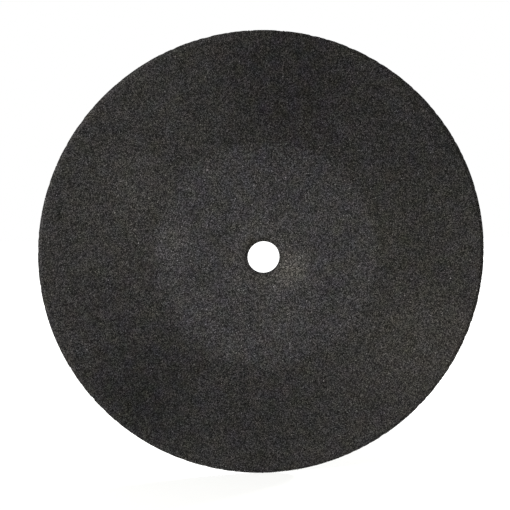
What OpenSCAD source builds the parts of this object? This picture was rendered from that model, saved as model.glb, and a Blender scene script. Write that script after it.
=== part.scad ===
// Thin flat grinding and cut-off wheel: bonded grit pressed in four layers over three glass
// cloths, with a thin metal bush in the bore. Everything is drawn lying flat about Z, with the
// front face up and z = 0 at mid-thickness, and upright() then stands the wheel on its rim, so
// that it spins about +Y and its front faces -Y. The origin is the wheel's centre.

/* [Wheel] */
// Outside diameter of the wheel
wheel_d = 355.6; // [220:0.2:450]
// Thickness of the wheel between its two flat faces
wheel_t = 3.2; // [2.6:0.1:6]
// Width, along the face, of the worn bevel between each face and the rim
bevel_w = 2.8; // [0.4:0.1:6]
// Depth of that bevel below the face
bevel_h = 0.9; // [0.2:0.05:1.2]
// Radius of the round where the bevel runs into the rim
nose_r = 0.4; // [0.1:0.05:0.8]

/* [Bore] */
// Diameter of the bore that goes over the spindle
bore_d = 25.4; // [12.7:0.1:40]
// Wall of the metal bush that lines the bore
bush_wall = 0.5; // [0.3:0.1:1.5]
// Width of the worn countersink in the grit around the bush
sink_w = 2.8; // [0.4:0.1:4]
// Depth of that countersink below each face
sink_depth = 0.5; // [0.1:0.05:0.7]

/* [Glass cloth] */
// Spacing of the yarns, centre to centre
yarn_pitch = 5; // [4:0.1:10]
// Width of one flat yarn
yarn_w = 1.6; // [0.8:0.1:2.4]
// Thickness of one flat yarn
yarn_t = 0.2; // [0.1:0.02:0.3]
// Bare grit between the ends of the yarns and the rim
cloth_rim_gap = 2.8; // [1.5:0.1:8]
// Bare grit between the ends of the yarns and the bush
cloth_bore_gap = 1.4; // [0.6:0.1:4]
// Diameter of the smaller cloth that strengthens the middle
hub_cloth_d = 177.8; // [100:0.2:200]

/* [Hidden] */

$fn = 180;
nose_steps = 5;
over = 1;

// The wheel is filled in four equal lifts of grit, with a cloth laid on each of the first three
layer_t = wheel_t / 4;
front_cloth_z = layer_t;
hub_cloth_z = 0;
rear_cloth_z = -layer_t;

wheel_r = wheel_d / 2;
bush_r = bore_d / 2 + bush_wall;
bush_l = wheel_t - 2 * sink_depth;
cloth_r = wheel_r - cloth_rim_gap;
hub_cloth_r = hub_cloth_d / 2;
cloth_hole_r = bush_r + cloth_bore_gap;

grit_front = [0.22, 0.215, 0.21];
grit_core = [0.17, 0.165, 0.16];
glass_yarn = [0.87, 0.86, 0.78];
bush_metal = [0.2, 0.2, 0.205];

// Stands the flat drawing on its rim, front face towards -Y
module upright() {
    rotate([90, 0, 0])
        children();
}

// Half the section of the wheel, from the bush to the rim, with a countersunk inner edge. At
// the rim each bevel runs smoothly into its round nose.
module wheel_section() {
    half_t = wheel_t / 2;
    fall = min(bevel_h, half_t * 0.6);
    slope = atan2(fall, bevel_w);
    nose = min(nose_r, half_t - fall);
    nose_x = wheel_r - nose;
    nose_z = half_t - fall - nose * cos(slope);
    front_nose = [for (i = [0 : nose_steps])
        let (a = (90 - slope) * (1 - i / nose_steps))
        [nose_x + nose * cos(a), nose_z + nose * sin(a)]];
    rear_nose = [for (i = [nose_steps : -1 : 0]) [front_nose[i][0], -front_nose[i][1]]];
    bevel_x = front_nose[0][0] - bevel_w;
    polygon(concat(
        [[bush_r, half_t - sink_depth], [bush_r + sink_w, half_t], [bevel_x, half_t]],
        front_nose,
        rear_nose,
        [[bevel_x, -half_t], [bush_r + sink_w, -half_t], [bush_r, sink_depth - half_t]]));
}

// One lift of grit: the slab of the wheel from height z_low upwards
module grit_lift(z_low) {
    intersection() {
        rotate_extrude()
            wheel_section();
        translate([0, 0, z_low])
            cylinder(r = wheel_r + over, h = layer_t);
    }
}

// The parallel yarns of one direction of a cloth of radius r, lying from height z_low upwards.
// Each yarn is cut square where its outer edge meets the cloth's outline, and a yarn that would
// cross the hole in the middle is two pieces.
module yarns(r, z_low) {
    last = floor((r - yarn_w) / yarn_pitch);
    for (i = [-last : last]) {
        far_edge = abs(i) * yarn_pitch + yarn_w / 2;
        near_edge = max(abs(i) * yarn_pitch - yarn_w / 2, 0);
        reach = sqrt(r * r - far_edge * far_edge);
        if (near_edge < cloth_hole_r) {
            start = sqrt(cloth_hole_r * cloth_hole_r - near_edge * near_edge);
            for (side = [0, 180])
                rotate([0, 0, side])
                    translate([start, i * yarn_pitch - yarn_w / 2, z_low])
                        cube([reach - start, yarn_w, yarn_t]);
        } else {
            translate([-reach, i * yarn_pitch - yarn_w / 2, z_low])
                cube([2 * reach, yarn_w, yarn_t]);
        }
    }
}

// The warp lies just above the plane where two lifts meet, across the wheel
module warp(r, z) {
    yarns(r, z);
}

// The weft lies just below that plane, up and down the wheel, so the two sets touch where they
// cross
module weft(r, z) {
    rotate([0, 0, 90])
        yarns(r, z - yarn_t);
}

module front_abrasive_layer() {
    color(grit_front)
        upright()
            difference() {
                grit_lift(front_cloth_z);
                warp(cloth_r, front_cloth_z);
            }
}

module front_core_layer() {
    color(grit_core)
        upright()
            difference() {
                grit_lift(hub_cloth_z);
                weft(cloth_r, front_cloth_z);
                warp(hub_cloth_r, hub_cloth_z);
            }
}

module rear_core_layer() {
    color(grit_core)
        upright()
            difference() {
                grit_lift(rear_cloth_z);
                weft(hub_cloth_r, hub_cloth_z);
                warp(cloth_r, rear_cloth_z);
            }
}

module rear_abrasive_layer() {
    color(grit_front)
        upright()
            difference() {
                grit_lift(rear_cloth_z - layer_t);
                weft(cloth_r, rear_cloth_z);
            }
}

module front_mesh_warp() {
    color(glass_yarn)
        upright()
            warp(cloth_r, front_cloth_z);
}

module front_mesh_weft() {
    color(glass_yarn)
        upright()
            weft(cloth_r, front_cloth_z);
}

module hub_mesh_warp() {
    color(glass_yarn)
        upright()
            warp(hub_cloth_r, hub_cloth_z);
}

module hub_mesh_weft() {
    color(glass_yarn)
        upright()
            weft(hub_cloth_r, hub_cloth_z);
}

module rear_mesh_warp() {
    color(glass_yarn)
        upright()
            warp(cloth_r, rear_cloth_z);
}

module rear_mesh_weft() {
    color(glass_yarn)
        upright()
            weft(cloth_r, rear_cloth_z);
}

// Thin ring pressed into the grit, its ends level with the foot of each countersink
module arbor_bush() {
    color(bush_metal)
        upright()
            difference() {
                cylinder(r = bush_r, h = bush_l, center = true);
                cylinder(d = bore_d, h = bush_l + 2 * over, center = true);
            }
}

front_abrasive_layer();
front_core_layer();
rear_core_layer();
rear_abrasive_layer();
front_mesh_warp();
front_mesh_weft();
hub_mesh_warp();
hub_mesh_weft();
rear_mesh_warp();
rear_mesh_weft();
arbor_bush();
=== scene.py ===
# %% [markdown]
# # A thin grinding wheel of grit and resin
#
# The wheel is a flat disc of dark grit held in cured resin, with glass cloth inside it and a
# thin steel bush in its bore. It is pressed in a mould as four layers, so its faces are flat
# but never smooth: grains stand in the resin, some of them pressed level with the mould.
#
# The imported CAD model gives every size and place. This script keeps the CAD cloths and bush,
# and replaces the four plain CAD layers with layers that have a real granular surface.

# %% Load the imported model
import math

import bpy
import numpy as np
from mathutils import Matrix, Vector


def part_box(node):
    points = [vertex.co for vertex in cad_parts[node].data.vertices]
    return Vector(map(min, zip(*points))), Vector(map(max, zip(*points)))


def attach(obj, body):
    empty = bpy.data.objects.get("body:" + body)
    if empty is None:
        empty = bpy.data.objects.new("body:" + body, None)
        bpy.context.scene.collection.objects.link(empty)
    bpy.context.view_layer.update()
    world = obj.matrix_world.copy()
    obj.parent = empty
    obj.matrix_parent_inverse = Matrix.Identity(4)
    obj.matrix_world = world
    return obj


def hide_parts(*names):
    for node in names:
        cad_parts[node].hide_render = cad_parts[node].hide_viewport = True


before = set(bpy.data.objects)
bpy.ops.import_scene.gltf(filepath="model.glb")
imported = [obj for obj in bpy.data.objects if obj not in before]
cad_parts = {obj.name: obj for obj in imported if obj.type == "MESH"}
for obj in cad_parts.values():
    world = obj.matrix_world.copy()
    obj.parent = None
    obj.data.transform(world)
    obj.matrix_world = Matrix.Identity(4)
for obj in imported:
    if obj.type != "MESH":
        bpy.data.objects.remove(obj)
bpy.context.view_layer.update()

# %% [markdown]
# ## Sizes
#
# Lengths are in metres. Each one that the CAD model holds is read from a node's box, so a
# thicker or wider wheel would be followed. The bevel and the round nose at the rim, the
# countersink at the bore and the gap round the cloths' hole have no box of their own, and are
# named here.

# %% Read the sizes from the frame
MM = 0.001
WHEEL_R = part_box("front_core_layer")[1][0]
HALF_T = -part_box("front_abrasive_layer")[0][1]
LAYER_T = HALF_T / 2
BEVEL_W = 2.8 * MM
BEVEL_H = 0.9 * MM
NOSE_R = 0.4 * MM
BUSH_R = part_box("arbor_bush")[1][0]
SINK_DEPTH = HALF_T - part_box("arbor_bush")[1][1]
SINK_W = 2.8 * MM
YARN_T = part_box("front_mesh_warp")[1][1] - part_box("front_mesh_warp")[0][1]
CLOTH_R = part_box("front_mesh_warp")[1][0]
HUB_CLOTH_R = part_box("hub_mesh_warp")[1][0]
CLOTH_HOLE_R = BUSH_R + 1.4 * MM
print(f"wheel radius {WHEEL_R / MM:.1f} mm, half thickness {HALF_T / MM:.2f} mm")

# %% [markdown]
# ## Two helpers
#
# Colours are written as the sRGB hex values a painter would pick, and one function turns
# them into the linear light that the renderer works in. A second function adds a node to any
# tree, sets it and wires it, and every material and every Geometry Nodes tree below uses it.
# An input may be given as a number, as an output socket of another node, or as the other
# node itself, which stands for its first output.

# %% Colour and node helpers
def linear(hex_colour):
    """Turns "#rrggbb" into linear red, green, blue and alpha."""
    channels = [int(hex_colour[i : i + 2], 16) / 255 for i in (1, 3, 5)]
    return [c / 12.92 if c <= 0.04045 else ((c + 0.055) / 1.055) ** 2.4 for c in channels] + [1.0]


def add(tree, kind, inputs=None, **settings):
    """Adds one node with its settings, and gives its inputs numbers or links."""
    node = tree.nodes.new(kind)
    for name, value in settings.items():
        setattr(node, name, value)
    for key, value in (inputs or {}).items():
        if isinstance(value, bpy.types.Node):
            value = value.outputs[0]
        if isinstance(value, bpy.types.NodeSocket):
            tree.links.new(value, node.inputs[key])
        else:
            node.inputs[key].default_value = value
    return node


MATH = "ShaderNodeMath"
VECTOR = "ShaderNodeVectorMath"
RANGE = "ShaderNodeMapRange"
NOISE = "ShaderNodeTexNoise"

# %% [markdown]
# ## Camera
#
# The wheel stands on its rim and is seen almost face on, from a little above and to the left.
# The camera is more than five wheel radii away, so the lens is a short telephoto.

# %% Place the camera
VIEW_AZIMUTH = math.radians(-4.2)
VIEW_ELEVATION = math.radians(8.05)
VIEW_DISTANCE = 5.34 * WHEEL_R
VIEW_AIM = Vector((-0.0383 * WHEEL_R, 0, 0.0093 * WHEEL_R))
SENSOR_MM = 36
LENS_MM = 84.25

camera = bpy.data.objects.new("camera", bpy.data.cameras.new("camera"))
bpy.context.scene.collection.objects.link(camera)
camera.location = VIEW_DISTANCE * Vector((
    math.sin(VIEW_AZIMUTH) * math.cos(VIEW_ELEVATION),
    -math.cos(VIEW_AZIMUTH) * math.cos(VIEW_ELEVATION),
    math.sin(VIEW_ELEVATION),
))
camera.rotation_euler = (VIEW_AIM - camera.location).to_track_quat("-Z", "Y").to_euler()
camera.data.sensor_width = SENSOR_MM
camera.data.lens = LENS_MM
camera.data.clip_start = 0.01
bpy.context.scene.camera = camera
print("camera at", [round(v, 3) for v in camera.location])

# %% [markdown]
# ## Floor and light
#
# A dark matt object shows its grain only when most of the light comes from one side. A soft
# lamp stands at the left, about twenty-five degrees off the plane of the face, so that each
# grain has a lit side and a shaded side, and a second one does the same for the rear face.
# The surrounding is white to the camera, but gives only a little light, because light from
# all round would fill the shaded sides. The floor is a light table, an opal sheet lit from
# below, so that hardly any shadow lies on it, and one wide lamp overhead evens it out.

# %% Build the studio
bpy.context.scene.view_settings.view_transform = "Standard"
FILL_LIGHT = 0.12
TABLE_GLOW = 0.35
FLOOR_HALF = 1.5
LAMPS = [
    # name, place and side in metres, power in watts
    ("key_lamp", (-4.3, -2.1, 1.4), 1.0, 800),
    ("rear_lamp", (4.3, 2.1, 1.4), 1.0, 800),
    ("overhead_lamp", (0, 0, 2.1), 2.4, 12),
]

world = bpy.data.worlds.new("studio")
bpy.context.scene.world = world
world.use_nodes = True
backdrop = world.node_tree.nodes["Background"]
backdrop.inputs["Color"].default_value = (1, 1, 1, 1)
seen = add(world.node_tree, "ShaderNodeLightPath").outputs["Is Camera Ray"]
glow = add(world.node_tree, RANGE, {"Value": seen, "To Min": FILL_LIGHT, "To Max": 1.0})
world.node_tree.links.new(glow.outputs[0], backdrop.inputs["Strength"])

floor_mesh = bpy.data.meshes.new("floor")
floor_corners = [(-1, -1), (1, -1), (1, 1), (-1, 1)]
floor_mesh.from_pydata(
    [(x * FLOOR_HALF, y * FLOOR_HALF, -WHEEL_R) for x, y in floor_corners], [], [(0, 1, 2, 3)]
)
floor = bpy.data.objects.new("floor", floor_mesh)
bpy.context.scene.collection.objects.link(floor)
floor_paint = bpy.data.materials.new("pale_studio_floor")
floor_paint.use_nodes = True
floor_shader = floor_paint.node_tree.nodes["Principled BSDF"]
floor_shader.inputs["Base Color"].default_value = linear("#bfbfbd")
floor_shader.inputs["Roughness"].default_value = 0.9
floor_shader.inputs["Specular IOR Level"].default_value = 0.1
floor_shader.inputs["Emission Color"].default_value = (1, 1, 1, 1)
floor_shader.inputs["Emission Strength"].default_value = TABLE_GLOW
floor_mesh.materials.append(floor_paint)


def soft_lamp(name, place, size, watts):
    """A square area lamp at place, facing the middle of the wheel."""
    lamp = bpy.data.objects.new(name, bpy.data.lights.new(name, "AREA"))
    lamp.data.shape = "SQUARE"
    lamp.data.size = size
    lamp.data.energy = watts
    lamp.location = place
    lamp.rotation_euler = (-Vector(place)).to_track_quat("-Z", "Y").to_euler()
    bpy.context.scene.collection.objects.link(lamp)


for lamp_row in LAMPS:
    soft_lamp(*lamp_row)

# %% [markdown]
# ## The shape of a layer
#
# A layer is a flat ring turned about the wheel's axis. Its section is a closed line of
# points, and each point becomes a ring of vertices. A plain lathe would crowd the vertices
# at the bore and spread them at the rim, so each ring here gets as many vertices as its
# length needs, and neighbouring rings are zipped together with triangles. That keeps the
# triangles of the shown face about a millimetre wide all over, which is the size of the
# bare grains. The loose rings of the face are also jogged by up to LOOSEST of a step, so
# that no ring shows.
#
# Each vertex also carries a "push": the direction out of the wheel where the surface shows,
# and nothing where it lies against the next layer. The grit is worked along that push later.

# %% Zip rings of vertices into a closed shell
def zip_rings(first_a, count_a, first_b, count_b):
    """Triangles between two rings of vertices, as rows of three vertex numbers."""
    mid_a = (np.arange(count_a) + 0.5) / count_a
    mid_b = (np.arange(count_b) + 0.5) / count_b
    tip_b = np.searchsorted(mid_b, mid_a, side="left") % count_b
    tip_a = np.searchsorted(mid_a, mid_b, side="right") % count_a
    a, b = np.arange(count_a), np.arange(count_b)
    from_a = np.stack([first_a + a, first_b + tip_b, first_a + (a + 1) % count_a], 1)
    from_b = np.stack([first_b + b, first_b + (b + 1) % count_b, first_a + tip_a], 1)
    return np.concatenate([from_a, from_b])


LOOSEST = 0.3
FEWEST = 24


def turned_shell(name, section, rear, seed):
    """A closed shell from section rows of (radius, height, push out, push up, loose, step)."""
    rng = np.random.default_rng(seed)
    rings, faces, starts, counts = [], [], [], []
    for radius, height, push_out, push_up, loose, step in section:
        count = max(FEWEST, round(2 * math.pi * radius / step))
        sway = loose * rng.uniform(-LOOSEST, LOOSEST, count)
        angle = 2 * math.pi * (np.arange(count) + sway) / count
        reach = radius + loose * step * rng.uniform(-LOOSEST, LOOSEST, count)
        starts.append(sum(counts))
        counts.append(count)
        rings.append(np.stack([
            reach * np.cos(angle), reach * np.sin(angle), np.full(count, height),
            push_out * np.cos(angle), push_out * np.sin(angle), np.full(count, push_up),
        ], 1))
    for k in range(len(section)):
        n = (k + 1) % len(section)
        faces.append(zip_rings(starts[k], counts[k], starts[n], counts[n]))
    rows, faces = np.concatenate(rings), np.concatenate(faces)
    side = -1 if rear else 1
    # Standing the drawing up turns (x, y, height) into (x, -height, y); the rear is turned round
    place = np.stack([side * rows[:, 0], -side * rows[:, 2], rows[:, 1]], 1)
    push = np.stack([side * rows[:, 3], -side * rows[:, 5], rows[:, 4]], 1)
    mesh = bpy.data.meshes.new(name)
    mesh.from_pydata(place.tolist(), [], faces.tolist())
    mesh.attributes.new("push", "FLOAT_VECTOR", "POINT").data.foreach_set("vector", push.ravel())
    shell = bpy.data.objects.new(name, mesh)
    bpy.context.scene.collection.objects.link(shell)
    print(f"{name}: {len(place)} vertices, {len(faces)} triangles")
    return shell


# %% [markdown]
# ## The four sections
#
# The face layer runs from the worn countersink at the bush, across the flat face, down the
# worn bevel at the rim and back underneath. The bevel runs into a round nose, and the core
# layer shows only there. Underneath, both are stepped up by the thickness of a yarn where a
# cloth lies, so that the cloths keep their own space.

# %% Draw the sections
GRAIN = 1.05 * MM
BORE_STEP = 0.8 * MM
CORE_STEP = 2 * MM
HIDDEN_STEP = 8 * MM
CLOTH_CLEAR = 0.02 * MM
LEDGE = 0.4 * MM

BEVEL_SLOPE = math.atan2(BEVEL_H, BEVEL_W)
BEVEL_FOOT = HALF_T - BEVEL_H
NOSE_LOW = BEVEL_FOOT - NOSE_R * math.cos(BEVEL_SLOPE)
FOOT_R = WHEEL_R - NOSE_R * (1 - math.sin(BEVEL_SLOPE))
print("the bevel slopes", round(math.degrees(BEVEL_SLOPE)), "degrees")


def rim_point(height):
    """Radius and outward direction of the rim at a height above mid-thickness."""
    if height > BEVEL_FOOT:
        return (FOOT_R - (height - BEVEL_FOOT) * BEVEL_W / BEVEL_H,
                math.sin(BEVEL_SLOPE), math.cos(BEVEL_SLOPE))
    up = max(0.0, height - NOSE_LOW) / NOSE_R
    out = math.sqrt(1 - up * up)
    return WHEEL_R - NOSE_R * (1 - out), out, up


def face_section():
    """The section of a front or rear layer, drawn as if it faced up."""
    slope = math.hypot(SINK_W, SINK_DEPTH)
    rows = []
    for share in (0.0, 0.33, 0.67):
        rows.append((BUSH_R + share * SINK_W, HALF_T - (1 - share) * SINK_DEPTH,
                     -SINK_DEPTH / slope, SINK_W / slope, 0, BORE_STEP))
    flat_from, flat_to = BUSH_R + SINK_W, FOOT_R - BEVEL_W
    for radius in np.linspace(flat_from, flat_to, round((flat_to - flat_from) / GRAIN) + 1):
        rows.append((radius, HALF_T, 0, 1, 0 if radius == flat_to else 1, GRAIN))
    for height in np.linspace(HALF_T, LAYER_T, 4)[1:]:
        radius, out, up = rim_point(height)
        rows.append((radius, height, out, up, 0, GRAIN))
    lifted = LAYER_T + YARN_T + CLOTH_CLEAR
    for radius, height, step in (
            (CLOTH_R + 2 * LEDGE, LAYER_T, HIDDEN_STEP), (CLOTH_R + LEDGE, lifted, HIDDEN_STEP),
            (CLOTH_HOLE_R - LEDGE / 2, lifted, BORE_STEP),
            (CLOTH_HOLE_R - LEDGE, LAYER_T, BORE_STEP), (BUSH_R, LAYER_T, BORE_STEP)):
        rows.append((radius, height, 0, 0, 0, step))
    return rows


def core_section():
    """The section of a core layer: plain inside, granular at the rim."""
    low, high = YARN_T + CLOTH_CLEAR, LAYER_T - YARN_T - CLOTH_CLEAR
    rows = []
    for radius, height in (
            (BUSH_R, LAYER_T), (CLOTH_HOLE_R - LEDGE, LAYER_T), (CLOTH_HOLE_R - LEDGE / 2, high),
            (CLOTH_R + LEDGE, high), (CLOTH_R + 2 * LEDGE, LAYER_T)):
        rows.append((radius, height, 0, 0, 0, CORE_STEP))
    for height in (LAYER_T, BEVEL_FOOT, (BEVEL_FOOT + NOSE_LOW) / 2, NOSE_LOW, 0.0):
        radius, out, up = rim_point(height)
        rows.append((radius, height, out, up, 0, GRAIN))
    for radius, height in (
            (HUB_CLOTH_R + 2 * LEDGE, 0.0), (HUB_CLOTH_R + LEDGE, low),
            (CLOTH_HOLE_R - LEDGE / 2, low), (CLOTH_HOLE_R - LEDGE, 0.0), (BUSH_R, 0.0)):
        rows.append((radius, height, 0, 0, 0, CORE_STEP))
    return rows


front_face = turned_shell("front_face_shell", face_section(), False, 11)
rear_face = turned_shell("rear_face_shell", face_section(), True, 12)
front_core = turned_shell("front_core_shell", core_section(), False, 13)
rear_core = turned_shell("rear_core_shell", core_section(), True, 14)

# %% [markdown]
# ## Pressed relief
#
# Resin shrinks back between the grains as it cures, so the matrix lies a little below the
# mould's plane and is pebbled like coarse sandpaper. At the rim, whole grains break out and
# leave small chips. A Geometry Nodes tree does this to all four shells: it sinks each vertex
# against its push by an amount read from noise at the vertex's own place. Two layers that
# meet at the rim read the same noise there, so no crack opens between them.

# %% Build the relief tree
def new_tree(name, sockets):
    """An empty Geometry Nodes tree with one input per (name, kind) and a geometry output."""
    tree = bpy.data.node_groups.new(name, "GeometryNodeTree")
    tree.interface.new_socket("Geometry", in_out="INPUT", socket_type="NodeSocketGeometry")
    for label, kind in sockets:
        tree.interface.new_socket(label, in_out="INPUT", socket_type="NodeSocket" + kind)
    tree.interface.new_socket("Geometry", in_out="OUTPUT", socket_type="NodeSocketGeometry")
    return tree


relief = new_tree("pressed_relief", [
    ("Pebble", "Float"), ("Sink", "Float"), ("Depth", "Float"), ("Rim Radius", "Float"),
    ("Rim Band", "Float"), ("Chip Size", "Float"), ("Chip Depth", "Float"),
    ("Big Chip Place", "Vector"), ("Big Chip Width", "Float"), ("Big Chip Depth", "Float"),
])
given = add(relief, "NodeGroupInput").outputs
place = add(relief, "GeometryNodeInputPosition")
push = add(relief, "GeometryNodeInputNamedAttribute", {"Name": "push"}, data_type="FLOAT_VECTOR")

pebble_scale = add(relief, MATH, {0: 1.0, 1: given["Pebble"]}, operation="DIVIDE")
pebbles = add(relief, "ShaderNodeTexVoronoi", {"Vector": place, "Scale": pebble_scale})
fine_scale = add(relief, MATH, {0: pebble_scale, 1: 1.7}, operation="MULTIPLY")
speckle = add(relief, NOISE, {"Vector": place, "Scale": fine_scale, "Detail": 2.0})
rough = add(relief, MATH, {0: pebbles, 1: 0.8, 2: speckle}, operation="MULTIPLY_ADD")
sink = add(relief, MATH, {
    0: rough, 1: given["Depth"], 2: given["Sink"]}, operation="MULTIPLY_ADD")

# %% [markdown]
# Chips are deepest at the rim's radius and fade out over the rim band. One larger chip has a
# place of its own.

# %% Chip the rim
flat_place = add(relief, VECTOR, {0: place, 1: (1, 0, 1)}, operation="MULTIPLY")
from_axis = add(relief, VECTOR, {0: flat_place}, operation="LENGTH").outputs["Value"]
band_start = add(relief, MATH, {
    0: given["Rim Radius"], 1: given["Rim Band"]}, operation="SUBTRACT")
at_rim = add(relief, RANGE, {
    "Value": from_axis, "From Min": band_start, "From Max": given["Rim Radius"],
    "To Max": given["Chip Depth"]}, interpolation_type="SMOOTHSTEP")
chip_scale = add(relief, MATH, {0: 1.0, 1: given["Chip Size"]}, operation="DIVIDE")
chip_noise = add(relief, NOISE, {"Vector": place, "Scale": chip_scale, "Detail": 3.0})
chipped = add(relief, RANGE, {"Value": chip_noise, "From Min": 0.52, "From Max": 0.78})

to_big = add(relief, VECTOR, {0: place, 1: given["Big Chip Place"]}, operation="DISTANCE")
big_chip = add(relief, RANGE, {
    "Value": to_big.outputs["Value"], "From Min": given["Big Chip Width"], "From Max": 0.0,
    "To Max": given["Big Chip Depth"]}, interpolation_type="SMOOTHSTEP")
broken = add(relief, MATH, {0: at_rim, 1: chipped, 2: big_chip}, operation="MULTIPLY_ADD")
lowered = add(relief, MATH, {0: sink, 1: broken}, operation="ADD")
inwards = add(relief, MATH, {0: lowered, 1: -1.0}, operation="MULTIPLY")
offset = add(relief, VECTOR, {0: push, "Scale": inwards}, operation="SCALE")
moved = add(relief, "GeometryNodeSetPosition", {"Geometry": given["Geometry"], "Offset": offset})
add(relief, "NodeGroupOutput", {"Geometry": moved})

# %% [markdown]
# A modifier takes its inputs by the sockets' identifiers, and its result is turned into a
# plain mesh before anything else uses it. The same small function serves both trees.

# %% Apply a tree to an object
def grown(piece, tree, values, name):
    """The plain mesh that a tree makes from a piece, as a new mesh called name."""
    modifier = piece.modifiers.new(tree.name, "NODES")
    modifier.node_group = tree
    for item in tree.interface.items_tree:
        if item.in_out == "INPUT" and item.name in values:
            modifier[item.identifier] = values[item.name]
    made = bpy.data.meshes.new_from_object(
        piece.evaluated_get(bpy.context.evaluated_depsgraph_get()))
    made.name = name
    piece.modifiers.remove(modifier)
    return made


CHIP_ANGLE = math.radians(74)
RELIEF = {
    "Pebble": 1.4 * MM, "Sink": 0.02 * MM, "Depth": 0.1 * MM,
    "Rim Radius": WHEEL_R, "Rim Band": 2.2 * MM, "Chip Size": 5.0 * MM, "Chip Depth": 0.9 * MM,
    "Big Chip Place": (WHEEL_R * math.cos(CHIP_ANGLE), -HALF_T, WHEEL_R * math.sin(CHIP_ANGLE)),
    "Big Chip Width": 2.6 * MM, "Big Chip Depth": 0.8 * MM,
}
for shell in (front_face, rear_face, front_core, rear_core):
    plain = shell.data
    shell.data = grown(shell, relief, RELIEF, shell.name)
    bpy.data.meshes.remove(plain)
    print(shell.name, "pressed,", len(shell.data.polygons), "faces")

# %% [markdown]
# ## Grains
#
# Crushed grit is blocky and sharp. Points are strewn over a shell no closer than a set
# spacing, each gets a small block or eight-sided crystal turned at random, and the corners
# are knocked about so that no two look alike. Whatever would stand above the mould's plane is
# pressed level with it, as the mould does, which also keeps the wheel at its size. Each grain
# keeps a random tone for the material to read.
#
# Two flaws stay out of sight inside the wheel. Most grains reach deeper than the grit over
# the cloth, so their buried ends pass through its yarns. And the points are picked by the
# push at a triangle's corners, not over a whole triangle. The long hidden triangles inside a
# core layer have corners at the rim, so most of that layer's grains lie on them, inside the
# wheel, and only the rest show at the rim.

# %% Strew points over the shell
grit = new_tree("strewn_grit", [
    ("Spacing", "Float"), ("Grain Size", "Float"), ("Embed", "Float"), ("Knock", "Float"),
    ("Half Thickness", "Float"), ("Rim Radius", "Float"), ("Seed", "Int"),
    ("Material", "Material"),
])
given = add(grit, "NodeGroupInput").outputs
push = add(grit, "GeometryNodeInputNamedAttribute", {"Name": "push"}, data_type="FLOAT_VECTOR")
shown = add(grit, VECTOR, {0: push}, operation="LENGTH").outputs["Value"]
spacing_squared = add(grit, MATH, {0: given["Spacing"], 1: 2.0}, operation="POWER")
points = add(grit, "GeometryNodeDistributePointsOnFaces", {
    "Mesh": given["Geometry"], "Seed": given["Seed"], "Distance Min": given["Spacing"],
    "Selection": add(grit, MATH, {0: shown, 1: 0.9}, operation="GREATER_THAN"),
    "Density Max": add(grit, MATH, {0: 1.6, 1: spacing_squared}, operation="DIVIDE"),
}, distribute_method="POISSON")
embed = add(grit, MATH, {0: given["Embed"], 1: -1.0}, operation="MULTIPLY")
bedded = add(grit, "GeometryNodeSetPosition", {
    "Geometry": points, "Offset": add(grit, VECTOR, {0: push, "Scale": embed}, operation="SCALE")})

# %% Put a grain on each point
block = add(grit, "GeometryNodeMeshCube", {"Size": (0.85, 0.8, 0.75)})
crystal = add(grit, "GeometryNodeMeshUVSphere", {"Segments": 4, "Rings": 2, "Radius": 0.6})
shapes = add(grit, "GeometryNodeGeometryToInstance")
grit.links.new(crystal.outputs["Mesh"], shapes.inputs[0])
grit.links.new(block.outputs["Mesh"], shapes.inputs[0])

turn = add(grit, "FunctionNodeRandomValue", {
    "Min": (0, 0, 0), "Max": (math.tau, math.tau, math.tau), "Seed": 3}, data_type="FLOAT_VECTOR")
stretch = add(grit, "FunctionNodeRandomValue", {
    "Min": (0.55, 0.55, 0.55), "Max": (1.35, 1.35, 1.35), "Seed": 5}, data_type="FLOAT_VECTOR")
pick = add(grit, "FunctionNodeRandomValue", {4: 0, 5: 1, "Seed": 7}, data_type="INT")
grains = add(grit, "GeometryNodeInstanceOnPoints", {
    "Points": bedded, "Instance": shapes, "Pick Instance": True,
    "Instance Index": pick.outputs[2],
    "Rotation": add(grit, "FunctionNodeEulerToRotation", {0: turn}),
    "Scale": add(grit, VECTOR, {0: stretch, "Scale": given["Grain Size"]}, operation="SCALE"),
})
tone = add(grit, "FunctionNodeRandomValue", {"Seed": 9}, data_type="FLOAT").outputs[1]
toned = add(grit, "GeometryNodeStoreNamedAttribute", {
    "Geometry": grains, "Name": "tone", "Value": tone}, data_type="FLOAT", domain="INSTANCE")
solid = add(grit, "GeometryNodeRealizeInstances", {"Geometry": toned})

# %% [markdown]
# The corners of the real grains are knocked by noise finer than a grain. Then the mould's
# two planes and the rim's cylinder cut off what stands proud, by moving it back to them.

# %% Knock and press the grains
KNOCKS_PER_M = 2600.0
place = add(grit, "GeometryNodeInputPosition")
wobble = add(grit, NOISE, {"Vector": place, "Scale": KNOCKS_PER_M, "Detail": 0.0}).outputs[1]
centred = add(grit, VECTOR, {0: wobble, 1: (0.5, 0.5, 0.5)}, operation="SUBTRACT")
knock = add(grit, VECTOR, {0: centred, "Scale": given["Knock"]}, operation="SCALE")
knocked = add(grit, "GeometryNodeSetPosition", {"Geometry": solid, "Offset": knock})

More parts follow.
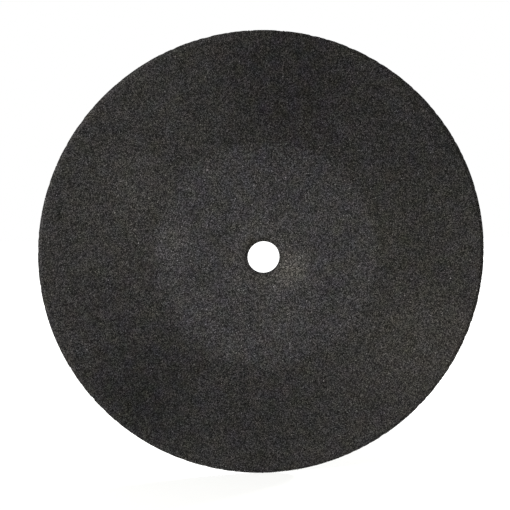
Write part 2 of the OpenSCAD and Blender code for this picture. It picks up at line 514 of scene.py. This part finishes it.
parts = add(grit, "ShaderNodeSeparateXYZ", {0: place}).outputs
rear_plane = given["Half Thickness"]
front_plane = add(grit, MATH, {0: rear_plane, 1: -1.0}, operation="MULTIPLY")
level = add(grit, "ShaderNodeClamp", {"Value": parts["Y"], "Min": front_plane, "Max": rear_plane})
flat_place = add(grit, VECTOR, {0: place, 1: (1, 0, 1)}, operation="MULTIPLY")
from_axis = add(grit, VECTOR, {0: flat_place}, operation="LENGTH").outputs["Value"]
overshoot = add(grit, MATH, {0: given["Rim Radius"], 1: from_axis}, operation="DIVIDE")
shrink = add(grit, MATH, {0: 1.0, 1: overshoot}, operation="MINIMUM")
pressed = add(grit, "GeometryNodeSetPosition", {
    "Geometry": knocked,
    "Position": add(grit, "ShaderNodeCombineXYZ", {
        0: add(grit, MATH, {0: parts["X"], 1: shrink}, operation="MULTIPLY"), 1: level,
        2: add(grit, MATH, {0: parts["Z"], 1: shrink}, operation="MULTIPLY")})})
coated = add(grit, "GeometryNodeSetMaterial", {
    "Geometry": pressed, "Material": given["Material"]})
add(grit, "NodeGroupOutput", {"Geometry": coated})

# %% [markdown]
# ## Materials
#
# Each material below starts from what the real one is and how it was made.

# %% [markdown]
# ### Tone of the faces
#
# The faces aren't one even grey. The middle, out to the edge of the hub cloth, is a little
# paler and bluer than the olive-grey outside it. Soft round patches lighten some places and
# darken others, the palest of them beside the bore, and the whole face is mottled a few
# millimetres at a time. The darkest patch, up and to the left of the bore, is painted shade
# where the countersink turns away from the key lamp. The colour is also painted darker all
# round the bush, across the countersink and a millimetre beyond it, as painted shade.
# The rear face has the same patches half a turn further round, so that the two don't match.
# PATCH_STRENGTH scales the changes of all the patches together.
# The same tint goes under the resin and under the grains, so it has a function of its own.

# %% Tint nodes
ZONE_R = HUB_CLOTH_R
ZONE_CENTRE = (1.8 * MM, 0, 0.8 * MM)
ZONE_EDGE = 10 * MM
MOTTLE_MM = 12
# SINK_SHADE is how dark the painted shade in the countersink is made at the bush.
SINK_SHADE = 0.62
PATCH_STRENGTH = 0.8
PATCHES = [
    # place across and up from the axis and radius in mm, then the change of red, green, blue
    (0, 0, 40, 0.50, 0.46, 0.30),
    (24, -10, 22, 1.10, 1.05, 0.84),
    (-7, 24, 13, 0.26, 0.26, 0.24),
    # painted shade: the side of the countersink that turns away from the key lamp
    (-9, 12, 9, -0.50, -0.52, -0.58),
    (14, -43, 36, 0.26, 0.25, 0.22),
    (-70, 8, 28, 0.40, 0.39, 0.39),
    (-60, -40, 26, 0.14, 0.14, 0.13),
    (-34, -66, 26, 0.12, 0.12, 0.12),
    (-100, 60, 44, 0.40, 0.38, 0.36),
    (-112, 20, 60, 0.14, 0.13, 0.12),
    (98, 24, 44, 0.16, 0.16, 0.12),
    (128, -72, 96, 0.44, 0.42, 0.34),
    (108, -62, 34, 0.10, 0.09, 0.06),
    (188, 6, 54, 0.26, 0.25, 0.22),
    (174, -78, 62, 0.28, 0.26, 0.22),
    (96, -166, 50, 0.20, 0.19, 0.16),
    (110, 20, 74, 0.00, -0.01, -0.06),
    (24, 140, 108, -0.42, -0.43, -0.41),
    (120, 96, 72, -0.18, -0.18, -0.16),
    (-98, -108, 84, -0.46, -0.44, -0.42),
    (0, -125, 60, -0.16, -0.16, -0.15),
    (-136, -34, 44, -0.14, -0.14, -0.14),
]


def wheel_tint(tree, place, outer, inner):
    """A colour node: inner inside the hub cloth's edge, outer outside it, mottled."""
    height = add(tree, "ShaderNodeSeparateXYZ", {0: place}).outputs["Y"]
    side = add(tree, MATH, {0: height}, operation="SIGN")
    turn = add(tree, MATH, {0: side, 1: -1.0}, operation="MULTIPLY")
    level = add(tree, VECTOR, {0: place, 1: (1, 0, 1)}, operation="MULTIPLY")
    flat = add(tree, VECTOR, {0: level, "Scale": turn}, operation="SCALE")
    mottle = add(tree, NOISE, {"Vector": flat, "Scale": 1000 / MOTTLE_MM, "Detail": 2.0})
    reach = add(tree, VECTOR, {0: flat, 1: ZONE_CENTRE}, operation="DISTANCE").outputs["Value"]
    wavy = add(tree, MATH, {0: mottle, 1: ZONE_EDGE, 2: reach}, operation="MULTIPLY_ADD")
    inside = add(tree, RANGE, {
        "Value": wavy, "From Min": ZONE_R + ZONE_EDGE, "From Max": ZONE_R},
        interpolation_type="SMOOTHSTEP")
    zoned = add(tree, "ShaderNodeMix", {"Factor": inside, 6: outer, 7: inner}, data_type="RGBA")

    gain = add(tree, VECTOR, {
        0: mottle.outputs[1], 1: (0.16, 0.16, 0.4), 2: (0.72, 0.72, 0.6)}, operation="MULTIPLY_ADD")
    gain = add(tree, VECTOR, {0: mottle, 1: (0.4,) * 3, 2: gain}, operation="MULTIPLY_ADD")
    for across, up, radius, *change in PATCHES:
        middle = (across * MM, 0, up * MM)
        away = add(tree, VECTOR, {0: flat, 1: middle}, operation="DISTANCE").outputs["Value"]
        near = add(tree, RANGE, {
            "Value": away, "From Min": radius * MM, "From Max": 0.0, "To Max": PATCH_STRENGTH},
            interpolation_type="SMOOTHSTEP")
        gain = add(tree, VECTOR, {0: near, 1: change, 2: gain}, operation="MULTIPLY_ADD")

    # Painted shade: the colour is darkened to SINK_SHADE at the bush and comes back to full a
    # millimetre past the countersink.
    from_axis = add(tree, VECTOR, {0: flat}, operation="LENGTH").outputs["Value"]
    painted_sink_shade = add(tree, RANGE, {
        "Value": from_axis, "From Min": BUSH_R, "From Max": BUSH_R + SINK_W + 1 * MM,
        "To Min": SINK_SHADE, "To Max": 1.0})
    toned = add(tree, VECTOR, {0: zoned.outputs[2], 1: gain}, operation="MULTIPLY")
    return add(tree, VECTOR, {0: toned, "Scale": painted_sink_shade}, operation="SCALE")


# %% [markdown]
# ### Grit bonded in phenolic resin
#
# Phenolic resin cures nearly black and matt, and the grit in it is dark and glassy. Seen from
# arm's length that gives a fine salt-and-pepper grain. A Voronoi pattern with cells of about
# two thirds of a millimetre stands for the grains that lie under the resin: each cell has its
# own tone, the joints between cells are darker, and both drive the bump. The tones follow a
# power, so that most cells are dark and a few are several times paler, and one in seventy is
# a bright glint. The resin keeps next to no sheen, or the flat face would shine when it is
# seen edge on against the light.

# %% Bonded grit material
GRAIN_CONTRAST = 11.0
GRAIN_MIDDLE = 0.595
GLINTS_ABOVE = 0.985
CELL_MM = 0.65
FACE_OUTER, FACE_INNER = "#262524", "#2c2b2b"
CORE_OUTER, CORE_INNER = "#232221", "#262525"


def bonded_grit(name, outer, inner):
    """Grit under resin, with grains CELL_MM across."""
    material = bpy.data.materials.new(name)
    material.use_nodes = True
    tree = material.node_tree
    shader = tree.nodes["Principled BSDF"]
    place = add(tree, "ShaderNodeTexCoord").outputs["Object"]
    tint = wheel_tint(tree, place, linear(outer), linear(inner))
    cells = add(tree, "ShaderNodeTexVoronoi", {"Vector": place, "Scale": 1000 / CELL_MM})
    cell_tone = add(tree, "ShaderNodeSeparateColor", {0: cells.outputs["Color"]}).outputs
    centred = add(tree, MATH, {0: cell_tone[0], 1: GRAIN_MIDDLE}, operation="SUBTRACT")
    spread = add(tree, MATH, {0: GRAIN_CONTRAST, 1: centred}, operation="POWER")
    joint = add(tree, RANGE, {
        "Value": cells.outputs["Distance"], "From Min": 0.25, "From Max": 0.75,
        "To Min": 1.1, "To Max": 0.6})
    glint = add(tree, RANGE, {
        "Value": cell_tone[1], "From Min": GLINTS_ABOVE, "From Max": 1.0, "To Max": 3.0})
    gain = add(tree, MATH, {0: spread, 1: joint, 2: glint}, operation="MULTIPLY_ADD")
    colour = add(tree, VECTOR, {0: tint, "Scale": gain}, operation="SCALE")
    tree.links.new(colour.outputs[0], shader.inputs["Base Color"])
    gloss = add(tree, RANGE, {"Value": cell_tone[2], "To Min": 0.55, "To Max": 0.95})
    tree.links.new(gloss.outputs[0], shader.inputs["Roughness"])
    fine = add(tree, NOISE, {
        "Vector": place, "Scale": 2000 / CELL_MM, "Detail": 2.0, "Roughness": 0.6})
    sunk = add(tree, MATH, {0: cells.outputs["Distance"], 1: -1.6}, operation="MULTIPLY")
    height = add(tree, MATH, {0: fine, 1: sunk}, operation="ADD")
    bump = add(tree, "ShaderNodeBump", {
        "Height": height, "Distance": 0.18 * CELL_MM * MM, "Strength": 1.0})
    tree.links.new(bump.outputs[0], shader.inputs["Normal"])
    shader.inputs["Specular IOR Level"].default_value = 0.02
    return material


face_grit = bonded_grit("phenolic_bonded_grit", FACE_OUTER, FACE_INNER)
core_grit = bonded_grit("phenolic_bonded_core", CORE_OUTER, CORE_INNER)

# %% [markdown]
# ### Bare grains
#
# A crushed crystal is a little glossier than the resin round it. Each grain reads the tone
# that the grit tree gave it: most are near black, a few are pale and catch the light.

# %% Bare grain material
SMUDGES_PER_M = 1800.0
bare_grain = bpy.data.materials.new("crushed_crystal_grit")
bare_grain.use_nodes = True
tree = bare_grain.node_tree
shader = tree.nodes["Principled BSDF"]
place = add(tree, "ShaderNodeTexCoord").outputs["Object"]
tint = wheel_tint(tree, place, linear(FACE_OUTER), linear(FACE_INNER))
own_tone = add(tree, "ShaderNodeAttribute", attribute_name="tone").outputs["Fac"]
centred = add(tree, MATH, {0: own_tone, 1: GRAIN_MIDDLE}, operation="SUBTRACT")
spread = add(tree, MATH, {0: GRAIN_CONTRAST, 1: centred}, operation="POWER")
pale = add(tree, RANGE, {
    "Value": own_tone, "From Min": GLINTS_ABOVE, "From Max": 1.0, "To Max": 4.0})
smudge = add(tree, NOISE, {"Vector": place, "Scale": SMUDGES_PER_M, "Detail": 2.0})
dusty = add(tree, MATH, {0: smudge, 1: 0.5}, operation="ADD")
gain = add(tree, MATH, {0: spread, 1: dusty, 2: pale}, operation="MULTIPLY_ADD")
colour = add(tree, VECTOR, {0: tint, "Scale": gain}, operation="SCALE")
tree.links.new(colour.outputs[0], shader.inputs["Base Color"])
gloss = add(tree, RANGE, {"Value": smudge, "To Min": 0.45, "To Max": 0.85})
tree.links.new(gloss.outputs[0], shader.inputs["Roughness"])
shader.inputs["Specular IOR Level"].default_value = 0.12

# %% [markdown]
# ### Resin-soaked glass cloth
#
# Glass yarn soaked in phenolic resin is straw coloured, with fine dark streaks between its
# filaments.

# %% Glass cloth material
FILAMENTS_PER_M = 4000.0
glass_cloth = bpy.data.materials.new("resin_soaked_glass_yarn")
glass_cloth.use_nodes = True
tree = glass_cloth.node_tree
shader = tree.nodes["Principled BSDF"]
place = add(tree, "ShaderNodeTexCoord").outputs["Object"]
fibres = add(tree, NOISE, {"Vector": place, "Scale": FILAMENTS_PER_M, "Detail": 2.0})
straw = add(tree, "ShaderNodeMix", {
    "Factor": fibres, 6: linear("#8a7f5c"), 7: linear("#e2dcc2")}, data_type="RGBA").outputs[2]
tree.links.new(straw, shader.inputs["Base Color"])
shader.inputs["Roughness"].default_value = 0.55

# %% [markdown]
# ### Black-oxide steel bush
#
# The bush is rolled from thin strip and blackened in a hot oxide bath. The oxide is a skin
# over steel, so it is a metal with a dark, bluish colour, satin where it has been rubbed and
# duller where it holds oil.

# %% Bush material
RUBS_PER_M = 700.0
black_oxide = bpy.data.materials.new("black_oxide_strip_steel")
black_oxide.use_nodes = True
tree = black_oxide.node_tree
shader = tree.nodes["Principled BSDF"]
place = add(tree, "ShaderNodeTexCoord").outputs["Object"]
rubbed = add(tree, NOISE, {"Vector": place, "Scale": RUBS_PER_M, "Detail": 4.0})
oxide = add(tree, "ShaderNodeMix", {
    "Factor": rubbed, 6: linear("#151618"), 7: linear("#303134")}, data_type="RGBA").outputs[2]
tree.links.new(oxide, shader.inputs["Base Color"])
satin = add(tree, RANGE, {"Value": rubbed, "To Min": 0.75, "To Max": 0.5})
tree.links.new(satin.outputs[0], shader.inputs["Roughness"])
shader.inputs["Metallic"].default_value = 1.0

# %% [markdown]
# ## Putting the pieces on the wheel
#
# The shells take their material and stand for the CAD layers. The grains are grown on each
# shell, and ride with it. The cloths and the bush keep their CAD shape and only get a
# material.

# %% Finish the shells and grow the grains
GRIT = {
    "Spacing": 2.2 * MM, "Grain Size": 1.0 * MM, "Embed": 0.2 * MM, "Knock": 0.35 * MM,
    "Half Thickness": HALF_T, "Rim Radius": WHEEL_R, "Material": bare_grain,
}
layers = [
    (front_face, "front_face_grit", "front_abrasive_layer", "abrasive_face", face_grit, 21),
    (rear_face, "rear_face_grit", "rear_abrasive_layer", "abrasive_face", face_grit, 22),
    (front_core, "front_rim_grit", "front_core_layer", "abrasive_core", core_grit, 23),
    (rear_core, "rear_rim_grit", "rear_core_layer", "abrasive_core", core_grit, 24),
]
for shell, grit_name, node, slot, material, seed in layers:
    grains = bpy.data.objects.new(grit_name, grown(shell, grit, {**GRIT, "Seed": seed}, grit_name))
    bpy.context.scene.collection.objects.link(grains)
    shell.data.materials.append(material)
    shell.data.attributes.remove(shell.data.attributes["push"])
    for piece in (shell, grains):
        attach(piece, "root")
    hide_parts(node)
    corners = sum(len(face.vertices) - 2 for face in grains.data.polygons)
    print(grit_name, corners, "triangles")

# %% Dress the CAD pieces that stay
for name in ("front_mesh_warp", "front_mesh_weft", "hub_mesh_warp", "hub_mesh_weft",
             "rear_mesh_warp", "rear_mesh_weft"):
    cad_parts[name].material_slots[0].material = glass_cloth
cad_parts["arbor_bush"].material_slots[0].material = black_oxide
